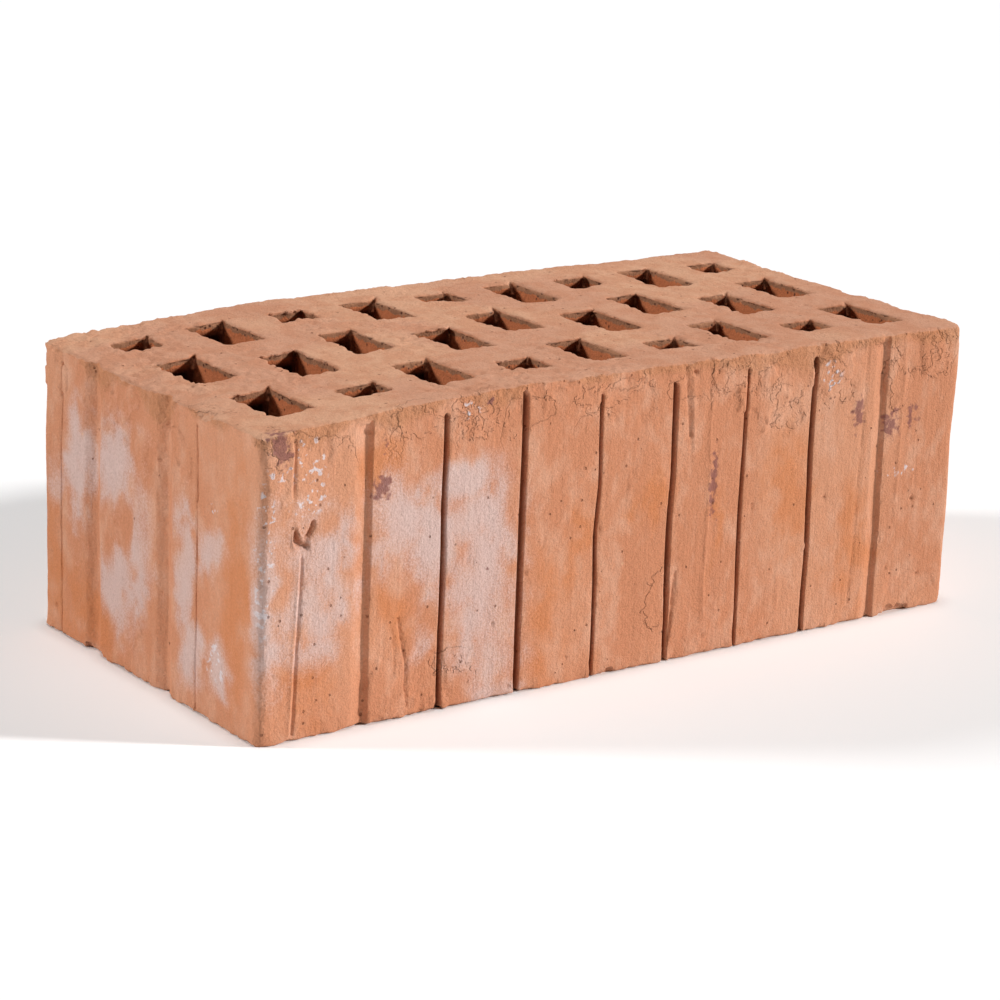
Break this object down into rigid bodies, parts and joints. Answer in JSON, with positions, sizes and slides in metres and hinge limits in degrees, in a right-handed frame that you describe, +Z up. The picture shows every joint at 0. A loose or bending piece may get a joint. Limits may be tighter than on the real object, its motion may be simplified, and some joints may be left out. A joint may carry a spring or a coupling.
{
  "type": "perforated clay brick",
  "caption": "Fired clay facing brick with rows of rectangular voids through its height and keying grooves down its sides.",
  "frame": {"origin": "centre of the lower bed face, on the level that the brick lies on", "axes": "+X along the length, +Y across the width from the grooved front face to the back face, +Z up through the voids"},
  "size_m": [0.25, 0.12, 0.088],
  "materials": {
    "fired_clay": "matt, unglazed"
  },
  "bodies": {
    "root": {"brick": "fired_clay"}
  },
  "joints": []
}
